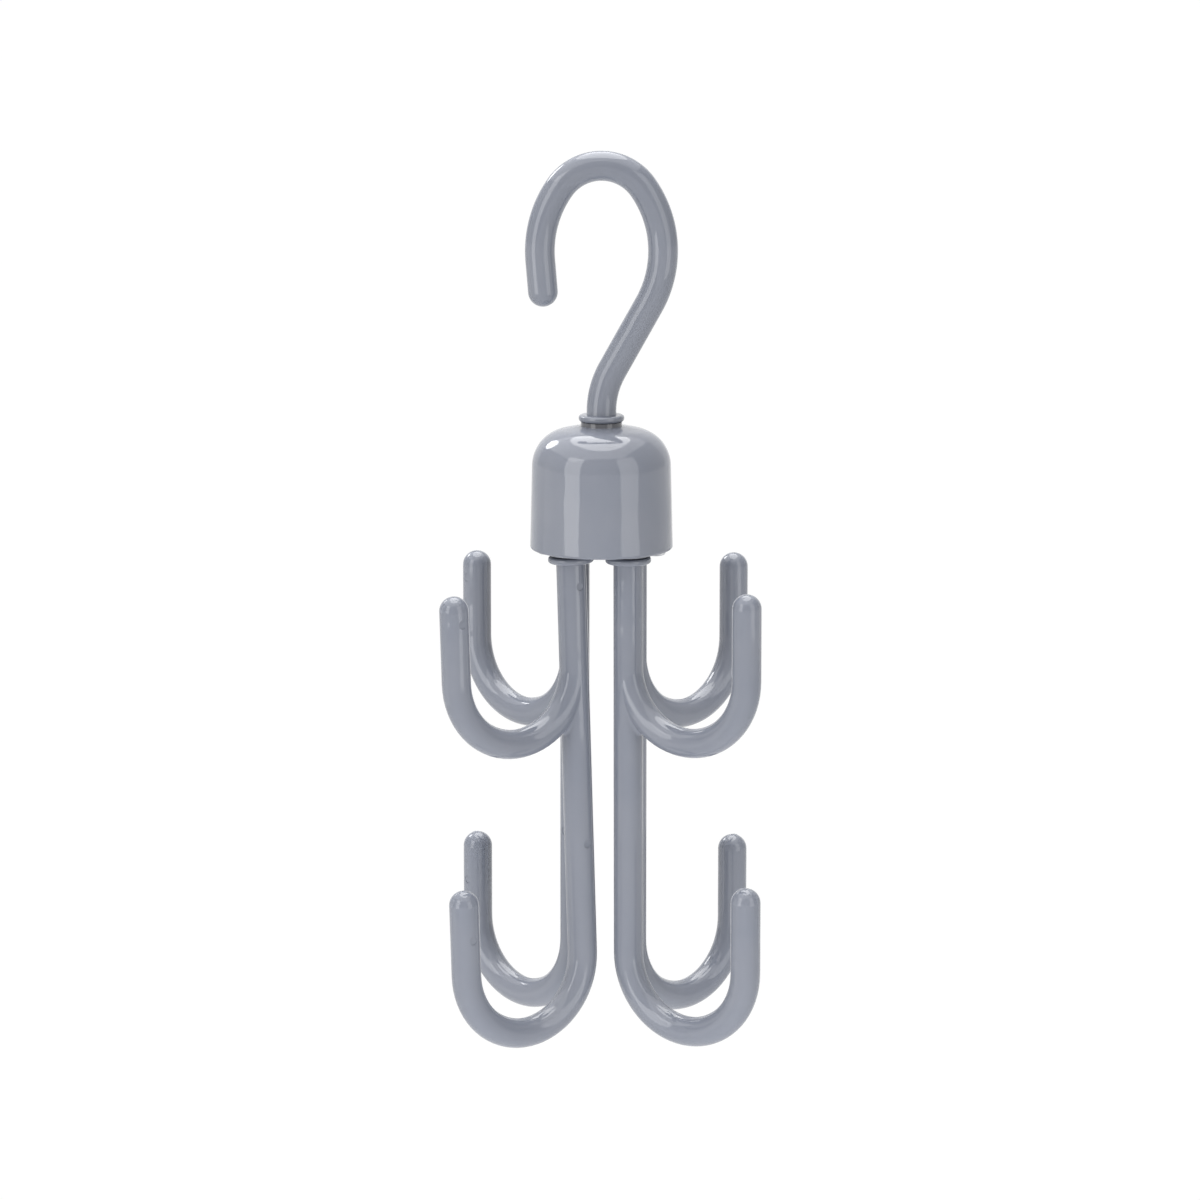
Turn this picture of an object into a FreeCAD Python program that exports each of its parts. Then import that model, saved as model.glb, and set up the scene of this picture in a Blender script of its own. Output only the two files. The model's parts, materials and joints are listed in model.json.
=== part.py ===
import FreeCAD, Part
import math
import os

V = FreeCAD.Vector

# A hanging organiser: a top hook, a dome that swivels under it, and four claws that swivel under the dome.
# Lengths are in millimetres, angles in degrees. The origin is the rail seat, the lowest point of the top
# hook's crown on its inner side. Z runs up along the swivel, the top hook lies in the XZ plane with its
# tip towards -X, and the front is -Y.

# Rod and swivel ends, shared by the top hook and the claws
rod_d = 7.8
ring_overhang = 2.1        # ring beyond the rod's surface
ring_t = 1.7
ring_round = 0.7           # at most, on the ring's edges
pin_shoulder = 1.1         # step from the rod's surface in to the pin
most_round = 0.45          # largest rounding of an edge, as a share of the wall
running_clearance = 0.08   # pin to bore, each side
axial_play = 0.10          # spare room along a pin, at each end

# Top hook, on the rod's centreline
crown_radius = 13.2
crown_half_angle = 55.0    # each side of upright
side_radius = 28.9
shank_slope = 29.2         # straight run of the shank, from upright
foot_radius = 22.4         # bend that turns the shank upright again
foot_straight = 0.93       # upright run above the ring
tip_lean = 4.7             # free arm, inwards from upright
tip_straight = 8.3

# Dome
dome_height = 32.7         # apex to rim
dome_draft = 1.4           # flare of the skirt
dome_shoulder_radius = 9.9
dome_crown_radius = 46.5
dome_wall = 2.2
dome_rim_round = 0.7
dome_collar_h = 0.9        # collar above the apex
dome_boss_h = 4.0          # boss below the ceiling
dome_room = 1.35           # washers to the inside of the skirt
collar_inset = 0.6         # collar inside the ring's edge

# Base plate
plate_t = 2.4
plate_recess = 0.4         # plate's face above the dome's rim
plate_lip = 1.35           # dome wall left around the plate
plate_clearance = 0.1
socket_collar_h = 1.05     # collar below the plate
socket_boss_h = 5.0        # boss above the plate
socket_wall = 1.4
post_wall = 1.7            # plastic around a plate screw's hole
post_h = 12.0
post_sink = 0.6            # post buried in the skirt

# Claws
claw_gap = 3.2             # between the rings of neighbouring claws
claw_reach = 37.4          # stem axis to free arm axis
claw_hook_height = 45.6    # outside of the bend to the top of the free arm
claw_hook_spacing = 78.1   # upper hook to lower hook
tip_drop = 6.8             # dome's rim down to the top of the upper free arms
fork_slim = 0.08           # upper bend inside the stem's surface, where it leaves the stem
fork_fillet = 1.0          # between the upper bend and the stem
mark_d = 2.2               # round ejector marks on one side of each claw
mark_depth = 0.22
mark_below_ring = 6.0
mark_above_bend = 30.0
mark_below_upper_tip = 7.0
mark_below_lower_tip = 12.8

# Pose of the pieces at rest. The dome turns on the top hook, each claw turns from its own corner of the
# dome, and slack in its socket lets a claw lean, with its foot towards +X and +Y.
dome_turn = -4.4
front_left_turn = -4.7
front_left_x_lean = 1.6
front_left_y_lean = 0.0
front_right_turn = 13.9
front_right_x_lean = 0.1
front_right_y_lean = 0.5
back_right_turn = 1.8
back_right_x_lean = 0.0
back_right_y_lean = -0.5
back_left_turn = 4.9
back_left_x_lean = -0.1
back_left_y_lean = -0.2

# Fasteners: ST2.9 x 9.5 pan head screws and large M3 washers
screw_d = 2.9
screw_length = 9.5
screw_head_d = 5.6
screw_head_h = 2.2
screw_point = 1.6
screw_pilot_d = 2.4
screw_hole_d = 3.2
screw_hole_spare = 0.8     # pilot hole beyond the screw's point
cross_width = 0.9
cross_length = 3.0
cross_depth = 1.2
washer_d = 9.0
washer_hole_d = 3.2
washer_t = 0.8

# Corners of the dome in order round the swivel, and the pose of the claw at each
corners = ("front_left", "front_right", "back_right", "back_left")
corner_deg = {corner: 180 + (step + 0.5) * 360 / len(corners) for step, corner in enumerate(corners)}
claw_turn = {
    "front_left": front_left_turn,
    "front_right": front_right_turn,
    "back_right": back_right_turn,
    "back_left": back_left_turn,
}
claw_lean = {
    "front_left": (front_left_x_lean, front_left_y_lean),
    "front_right": (front_right_x_lean, front_right_y_lean),
    "back_right": (back_right_x_lean, back_right_y_lean),
    "back_left": (back_left_x_lean, back_left_y_lean),
}

# Radii that follow
rod_r = rod_d / 2
ring_r = rod_r + ring_overhang
pin_r = rod_r - pin_shoulder
collar_r = ring_r - collar_inset
washer_r = washer_d / 2
most_lean = math.radians(max(math.hypot(x_lean, y_lean) for x_lean, y_lean in claw_lean.values()))
socket_length = socket_collar_h + plate_t + socket_boss_h
socket_bore_r = pin_r + running_clearance + math.tan(most_lean) * socket_length / 2
socket_boss_r = socket_bore_r + socket_wall
socket_ring_gap = axial_play + math.tan(most_lean) * ring_r
socket_washer_gap = axial_play + math.tan(most_lean) * washer_r
claw_circle_r = (2 * ring_r + claw_gap) / math.sqrt(2)
draft = math.radians(dome_draft)
dome_rim_r = claw_circle_r + max(washer_r, socket_boss_r) + dome_room + dome_wall / math.cos(draft)
dome_top_r = dome_rim_r - math.tan(draft) * dome_height
plate_seat_r = dome_rim_r - plate_lip
skirt_inner_r = dome_rim_r - math.tan(draft) * (plate_recess + plate_t) - dome_wall / math.cos(draft)
post_r = screw_pilot_d / 2 + post_wall
post_circle_r = skirt_inner_r + post_sink - post_r
bend_r = claw_reach / 2

# Top hook's turning points on its centreline
crown_z = rod_r - crown_radius
half_angle = math.radians(crown_half_angle)
side_x = (side_radius - crown_radius) * math.sin(half_angle)
side_z = crown_z - (side_radius - crown_radius) * math.cos(half_angle)
slope = math.radians(shank_slope)
widest_x = side_radius - side_x
shank_run = (widest_x - (side_radius + foot_radius) * (1 - math.cos(slope))) / math.sin(slope)
foot_z = side_z - (side_radius + foot_radius) * math.sin(slope) - shank_run * math.cos(slope)

# Heights, from the top hook down
hook_ring_top = foot_z - foot_straight
hook_ring_bottom = hook_ring_top - ring_t
dome_collar_top = hook_ring_bottom - axial_play
dome_apex = dome_collar_top - dome_collar_h
dome_boss_bottom = dome_apex - dome_wall - dome_boss_h
hook_pin_end = dome_boss_bottom - axial_play
dome_rim = dome_apex - dome_height
plate_bottom = dome_rim + plate_recess
plate_top = plate_bottom + plate_t
socket_bottom = plate_bottom - socket_collar_h
socket_top = plate_top + socket_boss_h
socket_middle = (socket_bottom + socket_top) / 2
claw_ring_top = socket_bottom - socket_ring_gap
claw_ring_bottom = claw_ring_top - ring_t
claw_pin_end = socket_top + socket_washer_gap
upper_tip_z = dome_rim - tip_drop
lower_tip_z = upper_tip_z - claw_hook_spacing
overall_height = rod_d - lower_tip_z + claw_hook_height


def point_on(centre_x, centre_z, radius, deg):
    """Point of a circle in the XZ plane, with the angle counted from +X towards +Z."""
    angle = math.radians(deg)
    return V(centre_x + radius * math.cos(angle), 0, centre_z + radius * math.sin(angle))


def bent_rod(centre_x, centre_z, bend_radius, start_deg, end_deg, radius=rod_r):
    """Rod bent along an arc in the XZ plane."""
    start = point_on(centre_x, centre_z, bend_radius, start_deg)
    tangent = point_on(0, 0, 1, start_deg + 90)
    section = Part.Face(Part.Wire(Part.makeCircle(radius, start, tangent)))
    return section.revolve(V(centre_x, 0, centre_z), V(0, -1, 0), end_deg - start_deg)


def upright(radius, bottom, top, x=0.0, y=0.0):
    """Upright cylinder between two heights."""
    return Part.makeCylinder(radius, top - bottom, V(x, y, bottom))


def joined(pieces):
    """One solid from pieces that meet or overlap."""
    return pieces[0].multiFuse(pieces[1:]).removeSplitter()


def swivel_ring(bottom):
    """Ring with rounded edges that stops a swivel pin."""
    ring = upright(ring_r, bottom, bottom + ring_t)
    rims = [edge for edge in ring.Edges if isinstance(edge.Curve, Part.Circle)]
    return ring.makeFillet(min(ring_round, most_round * ring_t), rims)


def top_hook():
    """Question-mark hook with its ring and its swivel pin."""
    tip_top = point_on(side_x, side_z, side_radius, 180 + tip_lean)
    tip_end = tip_top + point_on(0, 0, tip_straight, tip_lean - 90)
    shank_top = point_on(-side_x, side_z, side_radius, -shank_slope)
    pieces = [
        Part.makeSphere(rod_r, tip_end),
        Part.makeCylinder(rod_r, tip_straight, tip_top, tip_end - tip_top),
        bent_rod(side_x, side_z, side_radius, 90 + crown_half_angle, 180 + tip_lean),
        bent_rod(0, crown_z, crown_radius, 90 - crown_half_angle, 90 + crown_half_angle),
        bent_rod(-side_x, side_z, side_radius, -shank_slope, 90 - crown_half_angle),
        Part.makeCylinder(rod_r, shank_run, shank_top, point_on(0, 0, 1, -90 - shank_slope)),
        bent_rod(foot_radius, foot_z, foot_radius, 180 - shank_slope, 180),
        upright(rod_r, hook_ring_bottom, foot_z),
        swivel_ring(hook_ring_bottom),
        upright(pin_r, hook_pin_end, hook_ring_bottom),
    ]
    pilot_end = hook_pin_end - washer_t + screw_length + screw_hole_spare
    return joined(pieces).cut(upright(screw_pilot_d / 2, hook_pin_end, pilot_end))


def hook_arm(tip_z, radius):
    """Bend and free arm of one claw hook, reaching towards +X from the stem."""
    bend_z = tip_z - claw_hook_height + rod_r + bend_r
    arm_end = tip_z - radius
    return [
        bent_rod(bend_r, bend_z, bend_r, 180, 360, radius),
        upright(radius, bend_z, arm_end, claw_reach),
        Part.makeSphere(radius, V(claw_reach, 0, arm_end)),
    ]


def ejector_mark(x, z):
    """Cutter for one flat round mark on the +Y side of a rod."""
    return Part.makeCylinder(mark_d / 2, rod_r, V(x, rod_r - mark_depth, z), V(0, 1, 0))


def claw():
    """Stem with an upper and a lower hook, standing on the Z axis."""
    lower_bend_z = lower_tip_z - claw_hook_height + rod_r + bend_r
    stem = upright(rod_r, lower_bend_z, claw_ring_bottom)
    fork = joined([stem] + hook_arm(upper_tip_z, rod_r - fork_slim))
    curves = [edge for edge in fork.Edges if not edge.Degenerated]
    seam = [edge for edge in curves if isinstance(edge.Curve, Part.BSplineCurve)]
    fork = fork.makeFillet(fork_fillet, seam)
    swivel = [swivel_ring(claw_ring_bottom), upright(pin_r, claw_ring_top, claw_pin_end)]
    body = joined([fork] + swivel + hook_arm(lower_tip_z, rod_r))
    pilot_end = claw_pin_end + washer_t - screw_length - screw_hole_spare
    cutters = [
        upright(screw_pilot_d / 2, pilot_end, claw_pin_end),
        ejector_mark(0, claw_ring_bottom - mark_below_ring),
        ejector_mark(0, lower_bend_z + mark_above_bend),
        ejector_mark(claw_reach, upper_tip_z - mark_below_upper_tip),
        ejector_mark(claw_reach, lower_tip_z - mark_below_lower_tip),
    ]
    return body.cut(cutters)


def dome_form(inset, bottom):
    """Solid of revolution under the dome's outline, moved inwards by an inset."""
    crown_centre = dome_apex - dome_crown_radius
    flare = math.tan(draft)
    # The shoulder's centre lies one shoulder radius from the skirt's line and from the crown's arc.
    at_zero = dome_top_r - dome_shoulder_radius / math.cos(draft) + flare * dome_apex
    reach = dome_crown_radius - dome_shoulder_radius
    half_sum = at_zero * flare + crown_centre
    rest = at_zero ** 2 + crown_centre ** 2 - reach ** 2
    shoulder_z = (half_sum + math.sqrt(half_sum ** 2 - (1 + flare ** 2) * rest)) / (1 + flare ** 2)
    shoulder_x = at_zero - flare * shoulder_z
    crown_deg = math.degrees(math.atan2(shoulder_z - crown_centre, shoulder_x))
    shoulder_r = dome_shoulder_radius - inset
    crown_r = dome_crown_radius - inset
    foot = V(dome_top_r + flare * (dome_apex - bottom) - inset / math.cos(draft), 0, bottom)
    skirt_top = point_on(shoulder_x, shoulder_z, shoulder_r, dome_draft)
    shoulder_middle = point_on(shoulder_x, shoulder_z, shoulder_r, (dome_draft + crown_deg) / 2)
    shoulder_top = point_on(shoulder_x, shoulder_z, shoulder_r, crown_deg)
    crown_middle = point_on(0, crown_centre, crown_r, (crown_deg + 90) / 2)
    apex = V(0, 0, dome_apex - inset)
    axis_foot = V(0, 0, bottom)
    outline = Part.Wire([
        Part.LineSegment(axis_foot, foot).toShape(),
        Part.LineSegment(foot, skirt_top).toShape(),
        Part.Arc(skirt_top, shoulder_middle, shoulder_top).toShape(),
        Part.Arc(shoulder_top, crown_middle, apex).toShape(),
        Part.LineSegment(apex, axis_foot).toShape(),
    ])
    return Part.Face(outline).revolve(V(0, 0, 0), V(0, 0, 1), 360)


def post_places():
    """Centres of the two plate screws."""
    return [point_on(0, 0, post_circle_r, deg) for deg in (180, 0)]


def dome_cap():
    """Hollow bell with a collar and a boss for the top hook's pin and two posts for the plate's screws."""
    bell = dome_form(0, dome_rim)
    rim = [edge for edge in bell.Edges if abs(edge.BoundBox.ZMax - dome_rim) < 0.001 and edge.Closed]
    bell = bell.makeFillet(dome_rim_round, rim)
    cavity = dome_form(dome_wall, dome_rim)
    seat = upright(plate_seat_r, dome_rim, plate_top)
    shell = bell.cut([cavity, seat])
    boss = upright(washer_r, dome_boss_bottom, dome_apex - dome_wall / 2)
    collar = upright(collar_r, dome_apex - dome_wall / 2, dome_collar_top)
    posts = [upright(post_r, plate_top, plate_top + post_h, place.x) for place in post_places()]
    body = joined([shell, boss, collar] + posts)
    bore = upright(pin_r + running_clearance, dome_boss_bottom, dome_collar_top)
    pilot_end = plate_bottom + screw_length + screw_hole_spare
    pilots = [upright(screw_pilot_d / 2, plate_top, pilot_end, place.x) for place in post_places()]
    return turned(body.cut([bore] + pilots))


def socket_places():
    """Centre of each claw's socket before the dome is turned, in the order of the corners."""
    places = []
    for corner in corners:
        angle = math.radians(corner_deg[corner])
        places.append(V(claw_circle_r * math.cos(angle), claw_circle_r * math.sin(angle), 0))
    return places


def base_plate():
    """Disc that closes the dome, with a tubular socket for each claw."""
    disc = upright(plate_seat_r - plate_clearance, plate_bottom, plate_top)
    pieces = [disc]
    holes = [upright(screw_hole_d / 2, plate_bottom, plate_top, place.x) for place in post_places()]
    for place in socket_places():
        pieces.append(upright(collar_r, socket_bottom, plate_bottom, place.x, place.y))
        pieces.append(upright(socket_boss_r, plate_top, socket_top, place.x, place.y))
        holes.append(upright(socket_bore_r, socket_bottom, socket_top, place.x, place.y))
    return turned(joined(pieces).cut(holes))


def pan_screw():
    """Pan head screw with its head above z = 0 and its shank below."""
    head = Part.makeCylinder(screw_head_d / 2, screw_head_h)
    top = [edge for edge in head.Edges if abs(edge.BoundBox.ZMin - screw_head_h) < 0.001]
    head = head.makeFillet(screw_head_h / 2, top)
    shank_r = screw_d / 2
    shank = upright(shank_r, screw_point - screw_length, 0)
    point = Part.makeCone(0, shank_r, screw_point, V(0, 0, -screw_length))
    slot_corner = V(-cross_length / 2, -cross_width / 2, screw_head_h - cross_depth)
    slot = Part.makeBox(cross_length, cross_width, cross_depth, slot_corner)
    crossing = slot.copy()
    crossing.rotate(V(0, 0, 0), V(0, 0, 1), 90)
    return joined([head, shank, point]).cut([slot, crossing])


def washer(bottom):
    """Flat washer on the Z axis."""
    disc = upright(washer_r, bottom, bottom + washer_t)
    hole = upright(washer_hole_d / 2, bottom, bottom + washer_t)
    return disc.cut(hole)


def turned(shape):
    """Shape turned with the dome about the swivel."""
    shape.rotate(V(0, 0, 0), V(0, 0, 1), dome_turn)
    return shape


def at_corner(shape, corner, place):
    """Shape moved from the Z axis to a claw's socket, with that claw's turn and lean."""
    shape.rotate(V(0, 0, 0), V(0, 0, 1), corner_deg[corner] + claw_turn[corner])
    shape.translate(place)
    turned(shape)
    socket = FreeCAD.Rotation(V(0, 0, 1), dome_turn).multVec(place)
    pivot = V(socket.x, socket.y, socket_middle)
    x_lean, y_lean = claw_lean[corner]
    shape.rotate(pivot, V(0, 1, 0), -x_lean)
    shape.rotate(pivot, V(1, 0, 0), y_lean)
    return shape


def hanger():
    """All pieces by name."""
    nodes = {"top_hook": top_hook(), "dome_cap": dome_cap(), "base_plate": base_plate()}
    nodes["top_hook_washer"] = washer(hook_pin_end - washer_t)
    hook_screw = pan_screw()
    hook_screw.rotate(V(0, 0, 0), V(1, 0, 0), 180)
    hook_screw.translate(V(0, 0, hook_pin_end - washer_t))
    nodes["top_hook_screw"] = hook_screw
    for side, place in zip(("left", "right"), post_places()):
        plate_screw = pan_screw()
        plate_screw.rotate(V(0, 0, 0), V(1, 0, 0), 180)
        plate_screw.translate(V(place.x, 0, plate_bottom))
        nodes["plate_screw_" + side] = turned(plate_screw)
    for corner, place in zip(corners, socket_places()):
        claw_screw = pan_screw()
        claw_screw.translate(V(0, 0, claw_pin_end + washer_t))
        nodes["claw_" + corner] = at_corner(claw(), corner, place)
        nodes["claw_washer_" + corner] = at_corner(washer(claw_pin_end), corner, place)
        nodes["claw_screw_" + corner] = at_corner(claw_screw, corner, place)
    return nodes


os.makedirs("parts", exist_ok=True)
for name, shape in hanger().items():
    shape.exportStep("parts/" + name + ".step")
print("overall height", round(overall_height, 2), "dome rim diameter", round(2 * dome_rim_r, 2))
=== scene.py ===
"""Looks of a swivelling tie hanger: moulded rods, a bell-shaped dome, plated fasteners and a white studio."""
import json
import math

import bpy
from bpy.props import FloatProperty, FloatVectorProperty, IntProperty, PointerProperty
from mathutils import Matrix, Vector


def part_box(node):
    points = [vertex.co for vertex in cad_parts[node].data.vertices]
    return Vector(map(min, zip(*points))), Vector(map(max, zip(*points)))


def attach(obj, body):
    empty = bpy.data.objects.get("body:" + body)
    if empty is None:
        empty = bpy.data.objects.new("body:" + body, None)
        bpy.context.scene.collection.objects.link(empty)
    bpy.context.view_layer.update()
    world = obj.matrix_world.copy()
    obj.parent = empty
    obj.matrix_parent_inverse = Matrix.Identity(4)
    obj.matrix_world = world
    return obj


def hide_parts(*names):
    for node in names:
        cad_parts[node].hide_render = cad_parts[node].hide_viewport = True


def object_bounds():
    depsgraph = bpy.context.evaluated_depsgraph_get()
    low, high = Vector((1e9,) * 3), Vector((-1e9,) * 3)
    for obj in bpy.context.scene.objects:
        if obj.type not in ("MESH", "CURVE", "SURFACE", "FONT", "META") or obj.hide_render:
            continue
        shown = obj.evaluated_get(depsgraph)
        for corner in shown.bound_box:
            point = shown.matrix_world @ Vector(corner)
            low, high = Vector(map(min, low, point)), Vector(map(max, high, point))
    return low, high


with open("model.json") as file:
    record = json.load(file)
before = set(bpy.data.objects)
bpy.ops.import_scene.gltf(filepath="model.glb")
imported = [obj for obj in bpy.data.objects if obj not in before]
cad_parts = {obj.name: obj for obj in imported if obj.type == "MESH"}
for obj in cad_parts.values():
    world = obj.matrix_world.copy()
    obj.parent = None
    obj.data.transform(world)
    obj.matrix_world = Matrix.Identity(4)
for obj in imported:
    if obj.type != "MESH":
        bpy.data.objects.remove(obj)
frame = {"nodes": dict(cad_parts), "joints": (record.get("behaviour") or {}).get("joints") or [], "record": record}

bl_info = {
    "name": "Tie hanger",
    "version": (1, 0, 0),
    "blender": (4, 5, 0),
    "location": "View3D > Sidebar > Tie hanger",
    "description": "Dresses the solids of a swivelling tie hanger and sets up a white studio",
    "category": "Object",
}

# What the frame says, in metres
CAD_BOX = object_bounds()
JOINTS = {joint["name"]: joint for joint in frame["joints"]}
MOUNTS = {mount["name"]: mount for mount in frame["record"]["mounts"]}
CORNERS = [name.removesuffix("_swing") for name in JOINTS if name.endswith("_swing")]
HOOK_LOW, HOOK_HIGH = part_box("top_hook")
SCREW_LOW, SCREW_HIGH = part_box("top_hook_screw")
COLLAR_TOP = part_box("dome_cap")[1].z

# Fineness of the meshes
ARC_STEP = math.radians(2.0)
END_STEPS = 12             # stations of a round end
EDGE_STEPS = 5             # steps of a rounded edge
BORE_SIDES = 32
THREAD_STEPS = 32          # points in a turn of a thread
THREAD_SIDES = 4
NUDGE = 1e-6               # keeps two stations of a step apart, in metres
POLE_GAP = NUDGE / 10      # points nearer than this are merged
SHARP_ANGLE = math.radians(40.0)
QUARTER = math.pi / 2

# Depths and heights in the finishes, in metres
DUST_AND_SHADE_BELOW = 0.0010        # dust and painted shade reach this far below the top of the dome's collar
DUST_AND_SHADE_ABOVE = 0.0001
DUST_AND_SHADE_FADE = 0.0002
SINK_DEPTH = 0.0003
PEEL_DEPTH = 0.000009
CRYSTAL_DEPTH = 0.000006
PLATE_DEPTH = 0.000004

# Other values of the finishes
SCUFF_STRETCH = (1.0, 1.0, 0.06)    # a low scale makes the scuffs long in Z
SCUFF_TURN = (0.3, 0.2, 0.0)        # in radians
CRYSTAL_WAVES = 1800.0              # crystals in a metre of the zinc plate
CRYSTAL_SHARE = 0.25                # how much the crystals break up the dull patches
PLASTIC_IOR = 1.57

# Y of the directions between which the room turns into the white behind the object
BEHIND_RISE = (0.60, 0.72)


def length(name, description, default):
    return FloatProperty(
        name=name, description=description, default=default, min=0.0, precision=5, unit="LENGTH",
    )


def place(name, description, default):
    return FloatProperty(name=name, description=description, default=default, precision=5, unit="LENGTH")


def angle(name, description, degrees):
    return FloatProperty(name=name, description=description, default=math.radians(degrees), subtype="ANGLE")


def share(name, description, default):
    return FloatProperty(
        name=name, description=description, default=default, min=0.0, max=1.0, subtype="FACTOR",
    )


def colour(name, description, default):
    return FloatVectorProperty(
        name=name, description=description, default=default, min=0.0, max=1.0, subtype="COLOR",
    )


def brightness(name, description, default):
    return FloatProperty(name=name, description=description, default=default, min=0.0)


class HookSizes(bpy.types.PropertyGroup):
    """Sizes of the top hook, on the rod's centreline."""

    rod_radius: length("Rod radius", "Radius of every rod", HOOK_HIGH.z / 2)
    crown_radius: length("Crown radius", "Bend over the rail", 0.0132)
    crown_half_angle: angle("Crown half angle", "Crown's bend to each side of upright", 55.0)
    side_radius: length("Side radius", "Bend of both sides of the hook", 0.0289)
    shank_slope: angle("Shank slope", "Straight run of the shank, from upright", 29.2)
    foot_radius: length("Foot radius", "Bend that turns the shank upright again", 0.0224)
    foot_straight: length("Foot straight", "Upright run above the ring", 0.00093)
    tip_lean: angle("Tip lean", "Free arm, inwards from upright", 4.7)
    tip_straight: length("Tip straight", "Straight run of the free arm", 0.0083)
    ring_radius: length("Ring radius", "Ring at the foot", HOOK_HIGH.y)
    ring_thickness: length("Ring thickness", "Ring at the foot", 0.0017)
    ring_round: length("Ring rounding", "Rounding of the ring's edges", 0.0007)
    pin_radius: length("Pin radius", "Swivel pin below the ring", 0.0028)
    bore_radius: length("Bore radius", "Pilot hole for the screw", 0.0012)
    bore_depth: length("Bore depth", "Pilot hole for the screw", 0.0095)
    sides: IntProperty(name="Sides", description="Faces round the rod", default=64, min=12)


class ClawSizes(bpy.types.PropertyGroup):
    """Sizes of the parting line that runs along each claw."""

    hook_height: length("Hook height", "Outside of a bend to the top of its free arm", 0.0456)
    upper_slim: length("Upper slimness", "Upper hook's rod under the stem's radius", 0.00008)
    ring_drop: length("Ring drop", "Middle of the socket down to the middle of the ring", 0.0053)
    line_radius: length("Line radius", "Roundness of the parting line", 0.0004)
    line_height: length("Line height", "Parting line above the rod's surface", 0.00009)
    sides: IntProperty(name="Sides", description="Faces round the parting line", default=12, min=6)


class ScrewSizes(bpy.types.PropertyGroup):
    """Sizes of the pan head screws."""

    head_radius: length("Head radius", "Pan head", (SCREW_HIGH.x - SCREW_LOW.x) / 2)
    head_height: length("Head height", "Pan head", 0.0022)
    thread_radius: length("Thread radius", "Outside of the thread", 0.00145)
    core_radius: length("Core radius", "Root of the thread", 0.00109)
    pitch: length("Pitch", "Thread's advance in a turn", 0.0011)
    point: length("Point", "Tapered end", 0.0016)
    cross_length: length("Cross length", "Drive recess, end to end", 0.0030)
    cross_width: length("Cross width", "Drive recess, across a slot", 0.0009)
    cross_depth: length("Cross depth", "Drive recess", 0.0012)
    sides: IntProperty(name="Sides", description="Faces round a screw", default=40, min=12)


class Finishes(bpy.types.PropertyGroup):
    """Colours and gloss of the plastic and the steel."""

    plastic: colour("Plastic", "Grey-blue moulded plastic", (0.215, 0.230, 0.272))
    plastic_cloud: colour("Plastic cloud", "Cooler clouds of flow in the plastic", (0.200, 0.217, 0.262))
    plastic_gloss: share("Plastic roughness", "Clean moulded surface", 0.055)
    plastic_handled: share("Handled roughness", "Plastic dulled by hands", 0.11)
    plastic_scuffed: share("Scuffed roughness", "Fine scuffs in the plastic", 0.15)
    # Dark colour of the swivel gap, and how much of the gap it covers: some dust, and painted shade under the top
    # hook's ring
    grime_and_shade: colour("Grime", "Dust packed in the swivel gap", (0.055, 0.050, 0.050))
    gap_grime_and_shade: share("Gap grime", "How much of the swivel gap the dust covers", 0.7)
    zinc: colour("Zinc", "Bright zinc plate", (0.66, 0.67, 0.69))
    zinc_dull: colour("Dull zinc", "Passivated patches of the plate", (0.52, 0.53, 0.56))
    zinc_bright_rough: share("Zinc roughness", "Bright plate", 0.22)
    zinc_dull_rough: share("Dull zinc roughness", "Passivated patches", 0.42)


class StudioSettings(bpy.types.PropertyGroup):
    """Camera, lamps and floor."""

    pitch: angle("Camera pitch", "Camera looks down by this angle", 10.75)
    distance: length("Camera distance", "Camera to the point it aims at", 1.2446)
    aim_x: place("Aim X", "Point the camera aims at", -0.00038)
    aim_z: place("Aim Z", "Point the camera aims at", -0.11072)
    focal_length: FloatProperty(name="Focal length", description="Camera lens", default=141.5, unit="CAMERA")
    floor_drop: length("Floor drop", "Rail seat down to the floor", 1.5)
    floor_size: length("Floor size", "Side of the floor", 60.0)
    floor_tone: colour("Floor", "Pale floor", (0.85, 0.85, 0.85))
    floor_white: share("Floor white", "Share of the floor's light that is its own white", 0.95)
    backdrop: brightness("Backdrop", "White that the camera sees", 1.0)
    room: brightness("Room", "Grey of the room in reflections", 0.60)
    ambient: brightness("Ambient", "Soft light from all sides", 0.20)
    key: brightness("Key", "Tall softbox at the front left", 2.4)
    fill: brightness("Fill", "Tall softbox at the front right", 1.4)
    ceiling: brightness("Ceiling", "White ceiling, a little to the left", 1.1)
    top: brightness("Top", "Oval softbox below the ceiling", 3.2)
    wall: brightness("Wall", "White panel on the left", 0.35)
    bounce: brightness("Bounce", "White panel below the front", 1.75)
    rim: brightness("Rim", "Small round lamp behind the upper left", 7.0)


class Signal:
    """Output socket of a node that takes part in Python arithmetic."""

    def __init__(self, graph, socket):
        self.graph = graph
        self.socket = socket

    def maths(self, operation, first, second):
        return self.graph.node("ShaderNodeMath", {"operation": operation}, {0: first, 1: second})

    def __add__(self, other):
        return self.maths("ADD", self, other)

    def __sub__(self, other):
        return self.maths("SUBTRACT", self, other)

    def __rsub__(self, other):
        return self.maths("SUBTRACT", other, self)

    def __mul__(self, other):
        return self.maths("MULTIPLY", self, other)

    def __truediv__(self, other):
        return self.maths("DIVIDE", self, other)

    def at_least(self, floor):
        return self.maths("MAXIMUM", self, floor)

    def above(self, limit):
        return self.maths("GREATER_THAN", self, limit)

    def ranged(self, low, high):
        """Rises smoothly from 0 at low to 1 at high."""
        settings = {"interpolation_type": "SMOOTHSTEP"}
        sockets = {"Value": self, "From Min": low, "From Max": high}
        return self.graph.node("ShaderNodeMapRange", settings, sockets)

    def between(self, first, second):
        """The first value where this is 0, and the second where it is 1."""
        return self * (second - first) + first


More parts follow.
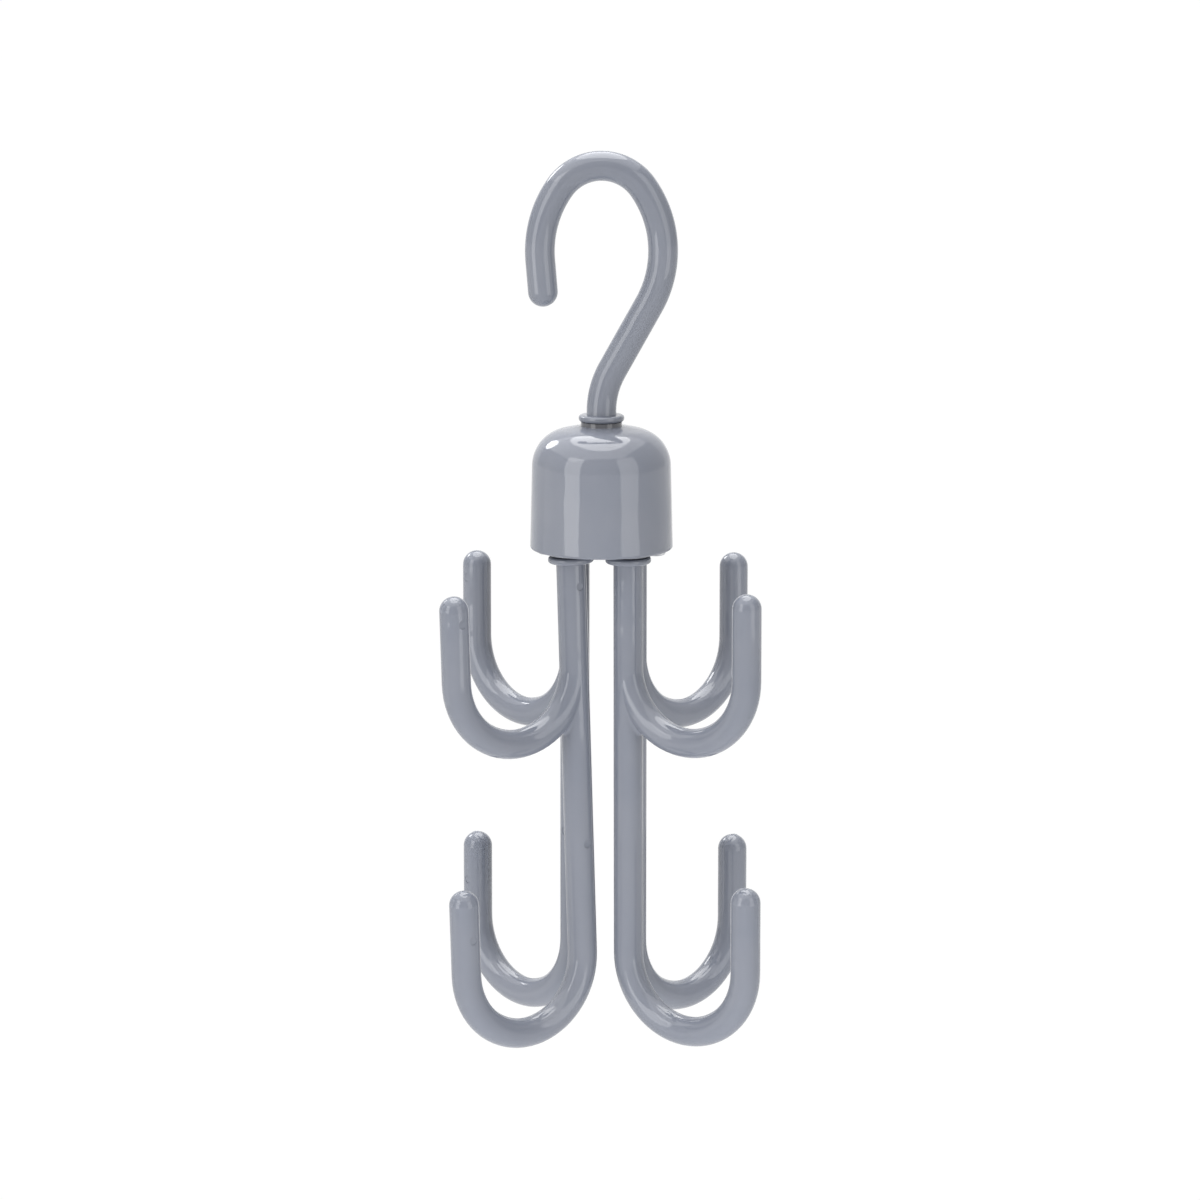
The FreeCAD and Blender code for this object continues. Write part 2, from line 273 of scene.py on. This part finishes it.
class Graph:
    """Node tree that is written as Python calls."""

    def __init__(self, tree):
        self.tree = tree

    def fill(self, node, sockets):
        """Sets or links a node's sockets."""
        for key, value in sockets.items():
            if isinstance(value, Signal):
                self.tree.links.new(value.socket, node.inputs[key])
            else:
                node.inputs[key].default_value = value

    def node(self, kind, settings=None, sockets=None, output=0):
        """New node with its settings, then the values or links of its sockets; returns one of its outputs."""
        node = self.tree.nodes.new(kind)
        for name, value in (settings or {}).items():
            setattr(node, name, value)
        self.fill(node, sockets or {})
        return Signal(self, node.outputs[output]) if node.outputs else None

    def noise(self, spot, waves, detail=2.0, roughness=0.5):
        """Noise with that many waves in a metre."""
        sockets = {"Vector": spot, "Scale": waves, "Detail": detail, "Roughness": roughness}
        return self.node("ShaderNodeTexNoise", None, sockets, "Fac")

    def patches(self, spot, waves, rise, detail=2.0, roughness=0.5):
        """Patches that begin and fill up between two levels of a noise."""
        return self.noise(spot, waves, detail, roughness).ranged(*rise)

    def mixed(self, factor, first, second):
        """Colour between two colours; inputs 6 and 7 and output 2 are the node's colours."""
        return self.node("ShaderNodeMix", {"data_type": "RGBA"}, {0: factor, 6: first, 7: second}, 2)

    def bump(self, height, distance, below=None):
        sockets = {"Height": height, "Distance": distance, "Strength": 1.0}
        if below:
            sockets["Normal"] = below
        return self.node("ShaderNodeBump", None, sockets)


class GrowthTree(Graph):
    """Geometry node group with named inputs."""

    def __init__(self, name, inputs):
        super().__init__(bpy.data.node_groups.new(name, "GeometryNodeTree"))
        kinds = {"Geometry": "Geometry", "Material": "Material", "Sides": "Int"} | inputs
        for label, kind in kinds.items():
            self.tree.interface.new_socket(label, in_out="INPUT", socket_type="NodeSocket" + kind)
        self.tree.interface.new_socket("Geometry", in_out="OUTPUT", socket_type="NodeSocketGeometry")
        self.entry = self.tree.nodes.new("NodeGroupInput")

    def given(self, label):
        return Signal(self, self.entry.outputs[label])

    def circle(self, sides, radius):
        return self.node("GeometryNodeCurvePrimitiveCircle", None, {"Resolution": sides, "Radius": radius})

    def swept(self, curve, closed_ends):
        """Round tube along a curve, as wide as the curve's own radius, with its poles merged."""
        sockets = {
            "Curve": curve, "Profile Curve": self.circle(self.given("Sides"), 1.0),
            "Scale": self.node("GeometryNodeInputRadius"), "Fill Caps": closed_ends,
        }
        tube = self.node("GeometryNodeCurveToMesh", None, sockets)
        return self.node("GeometryNodeMergeByDistance", None, {"Geometry": tube, "Distance": POLE_GAP})

    def moved(self, mesh, shift):
        return self.node("GeometryNodeTransform", None, {"Geometry": mesh, "Translation": shift})

    def cut(self, mesh, cutter):
        settings = {"operation": "DIFFERENCE", "solver": "EXACT"}
        return self.node("GeometryNodeMeshBoolean", settings, {"Mesh 1": mesh, "Mesh 2": cutter})

    def joined(self, *meshes):
        join = self.tree.nodes.new("GeometryNodeJoinGeometry")
        for mesh in meshes:
            self.tree.links.new(mesh.socket, join.inputs[0])
        return Signal(self, join.outputs[0])

    def shaded(self, mesh):
        """Smooth shading with sharp edges kept."""
        sockets = {"Geometry": mesh, "Shade Smooth": True}
        smooth = self.node("GeometryNodeSetShadeSmooth", {"domain": "FACE"}, sockets)
        bend = self.node("GeometryNodeInputMeshEdgeAngle", None, None, "Unsigned Angle")
        sockets = {"Geometry": smooth, "Selection": bend.above(SHARP_ANGLE), "Shade Smooth": False}
        return self.node("GeometryNodeSetShadeSmooth", {"domain": "EDGE"}, sockets)

    def end(self, mesh):
        whole = self.node("GeometryNodeRealizeInstances", None, {"Geometry": self.shaded(mesh)})
        sockets = {"Geometry": whole, "Material": self.given("Material")}
        dressed = self.node("GeometryNodeSetMaterial", None, sockets)
        self.node("NodeGroupOutput", None, {0: dressed})


def rod_tree():
    """Turned rod along a line, with a pilot hole up its foot."""
    graph = GrowthTree("turned_rod", {"Bore Radius": "Float", "Bore Depth": "Float", "Bore Foot": "Vector"})
    sockets = {"Curve": graph.given("Geometry"), "Normal": (0.0, 1.0, 0.0)}
    line = graph.node("GeometryNodeSetCurveNormal", {"mode": "FREE"}, sockets)
    rod = graph.swept(line, closed_ends=False)
    # Half of the cutter hangs below the foot
    depth = graph.given("Bore Depth") * 2
    sockets = {"Vertices": BORE_SIDES, "Radius": graph.given("Bore Radius"), "Depth": depth}
    bore = graph.node("GeometryNodeMeshCylinder", None, sockets)
    graph.end(graph.cut(rod, graph.moved(bore, graph.given("Bore Foot"))))
    return graph.tree


def line_tree():
    """Thin bead along a line, for the parting line of a mould."""
    graph = GrowthTree("parting_line", {})
    graph.end(graph.swept(graph.given("Geometry"), closed_ends=True))
    return graph.tree


def on_heads(graph, mesh):
    """Copies of a mesh on the first point of every line, with Z along the line."""
    tangent = graph.node("GeometryNodeInputTangent")
    upright = graph.node("FunctionNodeAlignRotationToVector", {"axis": "Z"}, {"Vector": tangent})
    first = graph.node("GeometryNodeCurveEndpointSelection", None, {"Start Size": 1, "End Size": 0})
    sockets = {"Points": graph.given("Geometry"), "Selection": first, "Instance": mesh, "Rotation": upright}
    placed = graph.node("GeometryNodeInstanceOnPoints", None, sockets)
    return graph.node("GeometryNodeRealizeInstances", None, {"Geometry": placed})


def cross_slots(graph):
    """Cutters of the two slots of a cross recess; half of each stands out of the head."""
    long = graph.given("Cross Length")
    wide = graph.given("Cross Width")
    deep = graph.given("Cross Depth") * 2
    for x, y in ((long, wide), (wide, long)):
        size = graph.node("ShaderNodeCombineXYZ", None, {"X": x, "Y": y, "Z": deep})
        yield graph.node("GeometryNodeMeshCube", None, {"Size": size})


def screw_thread(graph):
    """Thread round the core, with the middle of its section on the core's surface."""
    core = graph.given("Core Radius")
    run = graph.given("Thread Length")
    sockets = {
        "Resolution": THREAD_STEPS, "Rotations": run / graph.given("Pitch"),
        "Start Radius": core, "End Radius": core, "Height": run,
    }
    spiral = graph.node("GeometryNodeCurveSpiral", None, sockets)
    spiral = graph.node("GeometryNodeSetCurveNormal", {"mode": "Z_UP"}, {"Curve": spiral})
    section = graph.circle(THREAD_SIDES, graph.given("Thread Radius") - core)
    sockets = {"Curve": spiral, "Profile Curve": section, "Fill Caps": True}
    thread = graph.node("GeometryNodeCurveToMesh", None, sockets)
    start = graph.node("ShaderNodeCombineXYZ", None, {"Z": graph.given("Thread Start")})
    return graph.moved(thread, start)


def screw_tree():
    """Screws along lines from the middle of the head to the point, with a thread and a cross recess."""
    sizes = (
        "Thread Radius", "Core Radius", "Pitch", "Thread Start", "Thread Length",
        "Cross Length", "Cross Width", "Cross Depth",
    )
    graph = GrowthTree("pan_screw", dict.fromkeys(sizes, "Float"))
    screws = graph.swept(graph.given("Geometry"), closed_ends=False)
    for slot in cross_slots(graph):
        screws = graph.cut(screws, on_heads(graph, slot))
    graph.end(graph.joined(screws, on_heads(graph, screw_thread(graph))))
    return graph.tree


def linked(name, data):
    """New object in the scene."""
    thing = bpy.data.objects.new(name, data)
    bpy.context.scene.collection.objects.link(thing)
    return thing


def drawn(name, lines):
    """Curve through lines of (place, radius) stations."""
    curve = bpy.data.curves.new(name, "CURVE")
    curve.dimensions = "3D"
    for stations in lines:
        spline = curve.splines.new("POLY")
        spline.points.add(len(stations) - 1)
        for point, (spot, radius) in zip(spline.points, stations):
            point.co = (*spot, 1.0)
            point.radius = radius
    return linked(name, curve)


def grown(name, lines, tree, values):
    """Plain mesh piece that a node group grows along lines of (place, radius) stations."""
    draft = drawn(name + "_draft", lines)
    modifier = draft.modifiers.new("Growth", "NODES")
    modifier.node_group = tree
    for item in tree.interface.items_tree:
        if item.in_out == "INPUT" and item.name in values:
            modifier[item.identifier] = values[item.name]
    depsgraph = bpy.context.evaluated_depsgraph_get()
    mesh = bpy.data.meshes.new_from_object(draft.evaluated_get(depsgraph), depsgraph=depsgraph)
    mesh.name = name
    bpy.data.objects.remove(draft)
    if not mesh.polygons:
        raise RuntimeError(f"{name} came out empty")
    return linked(name, mesh)


def dress(node, material):
    """Gives a carried-over solid its finish."""
    for slot in frame["nodes"][node].material_slots:
        slot.material = material


def finish(name):
    """New material with its graph, its surface shader and the place on the object."""
    material = bpy.data.materials.new(name)
    material.use_nodes = True
    graph = Graph(material.node_tree)
    shader = material.node_tree.nodes["Principled BSDF"]
    spot = graph.node("ShaderNodeTexCoord", None, None, "Object")
    return material, graph, shader, spot


def opaque(tone):
    """Colour with an alpha of 1."""
    return (*tone, 1.0)


def swivel_dust_and_shade(graph, spot):
    """1 on the dome's collar, in the gap under the top hook's ring, where dust lies and painted shade darkens the
    colour.
    """
    height = graph.node("ShaderNodeSeparateXYZ", None, {0: spot}, "Z")
    low = COLLAR_TOP - DUST_AND_SHADE_BELOW
    high = COLLAR_TOP + DUST_AND_SHADE_ABOVE
    return height.ranged(low - DUST_AND_SHADE_FADE, low) * (1 - height.ranged(high, high + DUST_AND_SHADE_FADE))


def fine_scuffs(graph, spot):
    """Nearly upright scuffs that come in patches."""
    sockets = {"Vector": spot, "Scale": SCUFF_STRETCH, "Rotation": SCUFF_TURN}
    stretched = graph.node("ShaderNodeMapping", None, sockets)
    scuffs = graph.patches(stretched, waves=2400.0, rise=(0.66, 0.74), roughness=0.6)
    return scuffs * graph.patches(spot, waves=60.0, rise=(0.50, 0.68))


def grey_plastic(name, finishes):
    """Glossy grey-blue plastic with clouds of flow, dust and painted shade in the swivel gap, handled patches,
    fine scuffs, sink marks and a faint orange peel."""
    material, graph, shader, spot = finish(name)
    cloud = graph.patches(spot, waves=55.0, rise=(0.35, 0.70), detail=3.0)
    base = graph.mixed(cloud, opaque(finishes.plastic), opaque(finishes.plastic_cloud))
    # Darkens the swivel gap under the hook's ring: painted shade there, with some dust
    base = graph.mixed(swivel_dust_and_shade(graph, spot) * finishes.gap_grime_and_shade, base, opaque(finishes.grime_and_shade))
    handled = graph.patches(spot, waves=90.0, rise=(0.48, 0.72), detail=4.0, roughness=0.6)
    rough = handled.between(finishes.plastic_gloss, finishes.plastic_handled)
    rough = fine_scuffs(graph, spot).between(rough, finishes.plastic_scuffed)
    sink = graph.noise(spot, waves=90.0, detail=1.0)
    peel = graph.noise(spot, waves=420.0, detail=1.0)
    normal = graph.bump(peel, PEEL_DEPTH, graph.bump(sink, SINK_DEPTH))
    graph.fill(shader, {"Base Color": base, "Roughness": rough, "Normal": normal, "IOR": PLASTIC_IOR})
    return material


def zinc_steel(name, finishes):
    """Zinc-plated steel with dull patches and a fine crystal grain."""
    material, graph, shader, spot = finish(name)
    sockets = {"Vector": spot, "Scale": CRYSTAL_WAVES}
    crystal = graph.node("ShaderNodeTexVoronoi", {"feature": "F1"}, sockets, "Distance")
    blotches = graph.noise(spot, waves=700.0, detail=4.0, roughness=0.6)
    dull = (blotches + crystal * CRYSTAL_SHARE).ranged(low=0.45, high=0.80)
    base = graph.mixed(dull, opaque(finishes.zinc), opaque(finishes.zinc_dull))
    rough = dull.between(finishes.zinc_bright_rough, finishes.zinc_dull_rough)
    plate = graph.noise(spot, waves=6000.0, detail=3.0)
    normal = graph.bump(plate, PLATE_DEPTH, graph.bump(crystal, CRYSTAL_DEPTH))
    graph.fill(shader, {"Base Color": base, "Roughness": rough, "Normal": normal, "Metallic": 1.0})
    return material


def shared(name, make):
    """Material of that name, made at its first use."""
    return bpy.data.materials.get(name) or make(name, bpy.context.scene.hanger_finishes)


def plastic():
    return shared("grey_plastic_gloss", grey_plastic)


def steel():
    return shared("zinc_plated_steel", zinc_steel)


def at(x, z):
    return Vector((x, 0.0, z))


def heading(turn):
    """Direction in the XZ plane, with the angle counted from +X towards +Z."""
    return at(math.cos(turn), math.sin(turn))


def arc(centre, radius, start, end):
    """Points of an arc in the XZ plane."""
    steps = max(2, round(abs(end - start) / ARC_STEP))
    return [centre + radius * heading(start + (end - start) * step / steps) for step in range(steps + 1)]


def round_end(centre, outward, radius):
    """Stations of a half ball that starts a rod, from its pole to its widest."""
    turns = [QUARTER * step / END_STEPS for step in range(END_STEPS)]
    return [(centre + outward * radius * math.cos(turn), radius * math.sin(turn)) for turn in turns]


def rounded_step(edge_radius, rounding, outward):
    """(drop, radius) stations of a rounded edge, from a flat face to a round side or back again."""
    turns = [QUARTER * step / EDGE_STEPS for step in range(EDGE_STEPS + 1)]
    drops = [rounding * (1 - math.cos(turn)) for turn in turns]
    radii = [edge_radius - rounding * (1 - math.sin(turn)) for turn in turns]
    if outward:
        return list(zip(drops, radii))
    return [(rounding - drop, radius) for drop, radius in zip(reversed(drops), reversed(radii))]


def top_hook_bends(sizes):
    """Points along the top hook's bends, from the free arm over the crown and down the shank to the foot."""
    offset = sizes.side_radius - sizes.crown_radius
    crown = at(0.0, sizes.rod_radius - sizes.crown_radius)
    side = crown + offset * at(math.sin(sizes.crown_half_angle), -math.cos(sizes.crown_half_angle))
    far_side = at(-side.x, side.z)
    bends = sizes.side_radius + sizes.foot_radius
    slope = sizes.shank_slope
    run = (sizes.side_radius - side.x - bends * (1 - math.cos(slope))) / math.sin(slope)
    foot = at(sizes.foot_radius, side.z - bends * math.sin(slope) - run * math.cos(slope))
    crown_start = QUARTER + sizes.crown_half_angle
    crown_end = QUARTER - sizes.crown_half_angle
    points = arc(side, sizes.side_radius, math.pi + sizes.tip_lean, crown_start)
    points += arc(crown, sizes.crown_radius, crown_start, crown_end)[1:]
    points += arc(far_side, sizes.side_radius, crown_end, -slope)[1:]
    points += arc(foot, sizes.foot_radius, math.pi - slope, math.pi)
    return points


def ring_and_pin(sizes, top):
    """(height, radius) stations from the upper face of the top hook's ring down to the foot of its pin."""
    bottom = top - sizes.ring_thickness
    lower_edge = bottom + sizes.ring_round
    stations = [(top, sizes.rod_radius)]
    for start, outward in ((top, True), (lower_edge, False)):
        edge = rounded_step(sizes.ring_radius, sizes.ring_round, outward)
        stations += [(start - drop, radius) for drop, radius in edge]
    return stations + [(bottom, sizes.pin_radius), (HOOK_LOW.z, sizes.pin_radius), (HOOK_LOW.z, 0.0)]


def top_hook_line(sizes):
    """Stations of the top hook from its tip, over the crown, down to the foot of its pin."""
    points = top_hook_bends(sizes)
    tip_down = heading(sizes.tip_lean - QUARTER)
    tip_end = points[0] + tip_down * sizes.tip_straight
    stations = round_end(tip_end, tip_down, sizes.rod_radius)
    stations += [(point, sizes.rod_radius) for point in [tip_end] + points]
    turned = ring_and_pin(sizes, points[-1].z - sizes.foot_straight)
    stations += [(at(0.0, z - NUDGE * step), radius) for step, (z, radius) in enumerate(turned)]
    return stations


def swing_axis(corner):
    """Middle of a claw's socket and the direction up its stem."""
    joint = JOINTS[corner + "_swing"]
    return Vector(joint["pos_m"]), Vector(joint["axis"]).normalized()


def seat_of(corner, level):
    """Lowest point inside a claw's hook."""
    return Vector(MOUNTS[f"{corner}_{level}_hook_seat"]["pos_m"])


def claw_place(corner):
    """Matrix of a claw's own axes: hooks towards +X, stem along Z, origin in the middle of its socket."""
    pivot, up = swing_axis(corner)
    out = seat_of(corner, "upper") - pivot
    out = (out - out.dot(up) * up).normalized()
    return Matrix.Translation(pivot) @ Matrix((out, up.cross(out), up)).transposed().to_4x4()


def hook_outline(seat, rod, stem_offset, surface, hook_height, fade):
    """Line round one claw hook in its own plane: down the inside, over the free arm's end and back under the
    bend, where it fades into the rod."""
    bend = seat.x
    centre = at(bend, seat.z + bend - rod)
    arm_end = at(2 * bend, centre.z + hook_height - 2 * rod - bend)
    leaves = math.acos((bend - stem_offset) / (bend - surface))
    inside = arc(centre, bend - surface, math.pi + leaves, 2 * math.pi)
    over_tip = arc(arm_end, surface, math.pi, 0.0)
    outside = []
    for point in arc(centre, bend + surface, 2 * math.pi, math.pi):
        outward = (point - centre).normalized()
        outside.append(point + outward * fade * outward.z)
    return inside + over_tip + outside


def parting_lines(corner, hook, claw):
    """Stations of a claw's two lines: round the upper hook, and down the stem and round the lower hook."""
    own_axes = claw_place(corner)
    upper_seat, lower_seat = (own_axes.inverted() @ seat_of(corner, level) for level in ("upper", "lower"))
    stem = hook.rod_radius - claw.line_radius + claw.line_height
    fade = 2 * claw.line_height
    upper = hook_outline(upper_seat, hook.rod_radius, stem, stem - claw.upper_slim, claw.hook_height, fade)
    lower = hook_outline(lower_seat, hook.rod_radius, stem, stem, claw.hook_height, fade)
    fork = upper_seat.z
    upper = [at(stem, -claw.ring_drop)] + [point for point in upper if point.x > 0.0 or point.z > fork]
    lower = [at(stem, fork)] + lower + [at(-stem, -claw.ring_drop)]
    return [[(own_axes @ point, claw.line_radius) for point in line] for line in (upper, lower)]


def screw_line(head, along, sizes, whole_length):
    """Stations of one screw from the middle of its head to its point."""
    rounding = sizes.head_height / 2
    turned = [(0.0, 0.0)]
    turned += rounded_step(sizes.head_radius, rounding, True)
    turned += [(sizes.head_height, sizes.head_radius), (sizes.head_height, sizes.core_radius)]
    turned += [(whole_length - sizes.point, sizes.core_radius), (whole_length, 0.0)]
    return [(head + along * (drop + NUDGE * step), radius) for step, (drop, radius) in enumerate(turned)]


def screw_places():
    """Body, nodes, and the middle of the head and the direction of each screw."""
    groups = {"hook": ["top_hook_screw"], "dome": ["plate_screw_left", "plate_screw_right"]}
    for body, nodes in groups.items():
        heads = []
        for node in nodes:
            low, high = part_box(node)
            middle = (low + high) / 2
            heads.append((Vector((middle.x, middle.y, low.z)), Vector((0.0, 0.0, 1.0))))
        yield body, nodes, heads
    for corner in CORNERS:
        pivot, up = swing_axis(corner)
        node = "claw_screw_" + corner
        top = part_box(node)[1].z
        yield corner + "_claw", [node], [(pivot + up * (top - pivot.z) / up.z, -up)]


class HANGER_OT_top_hook(bpy.types.Operator):
    """Grow the question-mark hook with its ring and pin"""

    bl_idname = "hanger.top_hook"
    bl_label = "Top hook"

    def execute(self, context):
        sizes = context.scene.hanger_hook
        values = {
            "Material": plastic(), "Sides": sizes.sides, "Bore Radius": sizes.bore_radius,
            "Bore Depth": sizes.bore_depth, "Bore Foot": (0.0, 0.0, HOOK_LOW.z),
        }
        hook = grown("moulded_hook", [top_hook_line(sizes)], rod_tree(), values)
        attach(hook, "hook")
        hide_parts("top_hook")
        return {"FINISHED"}


class HANGER_OT_dome(bpy.types.Operator):
    """Finish the dome and the base plate that closes it"""

    bl_idname = "hanger.dome"
    bl_label = "Dome"

    def execute(self, context):
        for node in ("dome_cap", "base_plate"):
            dress(node, plastic())
        return {"FINISHED"}


class HANGER_OT_claws(bpy.types.Operator):
    """Finish the four claws and grow their parting lines"""

    bl_idname = "hanger.claws"
    bl_label = "Claws"

    def execute(self, context):
        hook = context.scene.hanger_hook
        claw = context.scene.hanger_claws
        tree = line_tree()
        values = {"Material": plastic(), "Sides": claw.sides}
        for corner in CORNERS:
            dress("claw_" + corner, plastic())
            line = grown("parting_line_" + corner, parting_lines(corner, hook, claw), tree, values)
            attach(line, corner + "_claw")
        return {"FINISHED"}


class HANGER_OT_fasteners(bpy.types.Operator):
    """Grow the screws and finish the washers"""

    bl_idname = "hanger.fasteners"
    bl_label = "Fasteners"

    def execute(self, context):
        sizes = context.scene.hanger_screws
        whole_length = SCREW_HIGH.z - SCREW_LOW.z
        values = {
            "Material": steel(), "Sides": sizes.sides, "Thread Radius": sizes.thread_radius,
            "Core Radius": sizes.core_radius, "Pitch": sizes.pitch, "Thread Start": sizes.head_height,
            "Thread Length": whole_length - sizes.head_height - sizes.point,
            "Cross Length": sizes.cross_length, "Cross Width": sizes.cross_width,
            "Cross Depth": sizes.cross_depth,
        }
        tree = screw_tree()
        for body, nodes, heads in screw_places():
            lines = [screw_line(head, along, sizes, whole_length) for head, along in heads]
            screws = grown("screws_" + body, lines, tree, values)
            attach(screws, body)
            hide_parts(*nodes)
        for washer in ["top_hook_washer"] + ["claw_washer_" + corner for corner in CORNERS]:
            dress(washer, steel())
        return {"FINISHED"}


def ray_masks(graph):
    """1 for the camera's rays, straight or through clear things, and 1 for mirrored rays."""
    rays = graph.tree.nodes.new("ShaderNodeLightPath")
    seen, passed, mirrored = (
        Signal(graph, rays.outputs[f"Is {kind} Ray"]) for kind in ("Camera", "Transmission", "Glossy")
    )
    return seen.at_least(passed), mirrored


def light_room(studio):
    """World: white to the camera, white behind the object in its gloss, and grey in front of it."""
    world = bpy.data.worlds.new("studio")
    world.use_nodes = True
    bpy.context.scene.world = world
    graph = Graph(world.node_tree)
    world.node_tree.nodes.clear()
    direction = graph.node("ShaderNodeTexCoord", None, None, "Generated")
    behind = graph.node("ShaderNodeSeparateXYZ", None, {0: direction}, "Y").ranged(*BEHIND_RISE)
    straight, mirrored = ray_masks(graph)
    level = mirrored.between(studio.ambient, behind.between(studio.room, studio.backdrop))
    level = straight.between(level, studio.backdrop)
    grey = graph.node("ShaderNodeCombineXYZ", None, {"X": level, "Y": level, "Z": level})
    sky = graph.node("ShaderNodeBackground", None, {"Color": grey, "Strength": 1.0})
    graph.node("ShaderNodeOutputWorld", None, {"Surface": sky})


def floor_finish(studio):
    """Pale matt floor that reads white and keeps a shadow."""
    material = bpy.data.materials.new("pale_floor")
    material.use_nodes = True
    material.node_tree.nodes.clear()
    graph = Graph(material.node_tree)
    straight, mirrored = ray_masks(graph)
    matt = graph.node("ShaderNodeBsdfDiffuse", None, {"Color": opaque(studio.floor_tone)})
    sockets = {"Color": (1.0, 1.0, 1.0, 1.0), "Strength": studio.backdrop / studio.floor_white}
    white = graph.node("ShaderNodeEmission", None, sockets)
    own_white = straight.at_least(mirrored) * studio.floor_white
    surface = graph.node("ShaderNodeMixShader", None, {0: own_white, 1: matt, 2: white})
    graph.node("ShaderNodeOutputMaterial", None, {"Surface": surface})
    return material


def lay_floor(studio):
    bpy.ops.mesh.primitive_plane_add(size=studio.floor_size, location=(0.0, 0.0, -studio.floor_drop))
    floor = bpy.context.object
    floor.name = "floor"
    floor.data.materials.append(floor_finish(studio))


def softbox(name, radiance, azimuth, elevation, distance, width, height, shape="RECTANGLE", mirrored=True):
    """Flat lamp that faces the middle of the object; azimuth runs in degrees from the front to the right.
    Gloss doesn't show a lamp that isn't mirrored."""
    middle = (CAD_BOX[0] + CAD_BOX[1]) / 2
    turn = math.radians(azimuth)
    rise = math.radians(elevation)
    out = Vector((math.cos(rise) * math.sin(turn), -math.cos(rise) * math.cos(turn), math.sin(rise)))
    lamp = bpy.data.lights.new(name, "AREA")
    lamp.shape = shape
    lamp.size = width
    lamp.size_y = height
    area = width * height * (1.0 if shape == "RECTANGLE" else math.pi / 4)
    lamp.energy = radiance * math.pi * area
    box = linked(name, lamp)
    box.visible_glossy = mirrored
    box.location = middle + out * distance
    box.rotation_euler = out.to_track_quat("Z", "Y").to_euler()


def hang_lamps(studio):
    softbox("key_softbox", studio.key, azimuth=-49.0, elevation=15.0, distance=1.3,
            width=0.65, height=1.25)
    softbox("fill_softbox", studio.fill, azimuth=47.0, elevation=14.0, distance=1.3,
            width=0.75, height=1.3)
    softbox("left_panel", studio.wall, azimuth=-85.0, elevation=0.0, distance=1.3,
            width=1.1, height=1.6)
    softbox("bounce_panel", studio.bounce, azimuth=0.0, elevation=-45.0, distance=0.42,
            width=1.2, height=0.39, mirrored=False)
    softbox("ceiling_panel", studio.ceiling, azimuth=-90.0, elevation=82.0, distance=1.3,
            width=2.6, height=2.8)
    softbox("top_softbox", studio.top, azimuth=180.0, elevation=76.0, distance=1.1,
            width=0.95, height=1.4, shape="ELLIPSE")
    softbox("rim_lamp", studio.rim, azimuth=-135.0, elevation=33.0, distance=1.3,
            width=0.42, height=0.38, shape="ELLIPSE")


def set_camera(studio):
    lens = bpy.data.cameras.new("photo_camera")
    lens.lens = studio.focal_length
    camera = linked("photo_camera", lens)
    ahead = Vector((0.0, math.cos(studio.pitch), -math.sin(studio.pitch)))
    camera.location = at(studio.aim_x, studio.aim_z) - ahead * studio.distance
    camera.rotation_euler = (QUARTER - studio.pitch, 0.0, 0.0)
    bpy.context.scene.camera = camera


class HANGER_OT_stage(bpy.types.Operator):
    """Set up the room, the floor, the lamps and the camera"""

    bl_idname = "hanger.stage"
    bl_label = "Stage"

    def execute(self, context):
        studio = context.scene.hanger_studio
        light_room(studio)
        lay_floor(studio)
        hang_lamps(studio)
        set_camera(studio)
        context.scene.view_settings.view_transform = "Standard"
        return {"FINISHED"}


OPERATORS = (HANGER_OT_top_hook, HANGER_OT_dome, HANGER_OT_claws, HANGER_OT_fasteners, HANGER_OT_stage)
GROUPS = {
    "hanger_hook": HookSizes, "hanger_claws": ClawSizes, "hanger_screws": ScrewSizes,
    "hanger_finishes": Finishes, "hanger_studio": StudioSettings,
}


class HANGER_PT_panel(bpy.types.Panel):
    """Sizes, finishes and steps of the tie hanger"""

    bl_idname = "HANGER_PT_panel"
    bl_label = "Tie hanger"
    bl_space_type = "VIEW_3D"
    bl_region_type = "UI"
    bl_category = "Tie hanger"

    def draw(self, context):
        for group in GROUPS:
            box = self.layout.box()
            settings = getattr(context.scene, group)
            for name in settings.bl_rna.properties.keys():
                if name not in ("rna_type", "name"):
                    box.prop(settings, name)
        for operator in OPERATORS:
            self.layout.operator(operator.bl_idname)


def register():
    for group, kind in GROUPS.items():
        bpy.utils.register_class(kind)
        setattr(bpy.types.Scene, group, PointerProperty(type=kind))
    for kind in OPERATORS + (HANGER_PT_panel,):
        bpy.utils.register_class(kind)


def unregister():
    for kind in (HANGER_PT_panel,) + OPERATORS:
        bpy.utils.unregister_class(kind)
    for group, kind in GROUPS.items():
        delattr(bpy.types.Scene, group)
        bpy.utils.unregister_class(kind)


def main():
    register()
    bpy.ops.hanger.top_hook()
    bpy.ops.hanger.dome()
    bpy.ops.hanger.claws()
    bpy.ops.hanger.fasteners()
    bpy.ops.hanger.stage()


if __name__ == "__main__":
    main()
